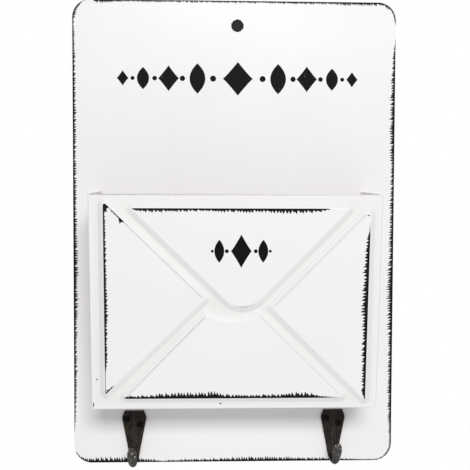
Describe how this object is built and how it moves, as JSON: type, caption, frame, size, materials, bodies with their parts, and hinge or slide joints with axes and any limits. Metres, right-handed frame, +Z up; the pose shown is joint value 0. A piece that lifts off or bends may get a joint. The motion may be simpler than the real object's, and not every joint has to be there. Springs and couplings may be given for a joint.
{
  "type": "wall mail organizer",
  "caption": "Enamelled sheet-steel wall letter holder: flat back plate, folded pocket pressed with an envelope relief, and cast-iron hooks for keys below it.",
  "frame": {"origin": "centre of the hanging hole on the wall plane, which is the back face of the plate", "axes": "+Z up, +X to the right, front towards -Y, wall behind at y = 0"},
  "size_m": [0.28, 0.0929, 0.403],
  "materials": {
    "plate_enamel": "near-white enamel, satin gloss, worn to black at the edges",
    "pocket_enamel": "near-white enamel, satin gloss, worn to black at the edges",
    "hook_iron": "dark brown-black cast iron, satin",
    "rivet_steel": "blackened steel, satin"
  },
  "bodies": {
    "root": {"back_plate": "plate_enamel", "letter_pocket": "pocket_enamel", "hook_left": "hook_iron", "hook_right": "hook_iron", "rivet_left_upper": "rivet_steel", "rivet_left_lower": "rivet_steel", "rivet_right_upper": "rivet_steel", "rivet_right_lower": "rivet_steel"}
  },
  "joints": []
}
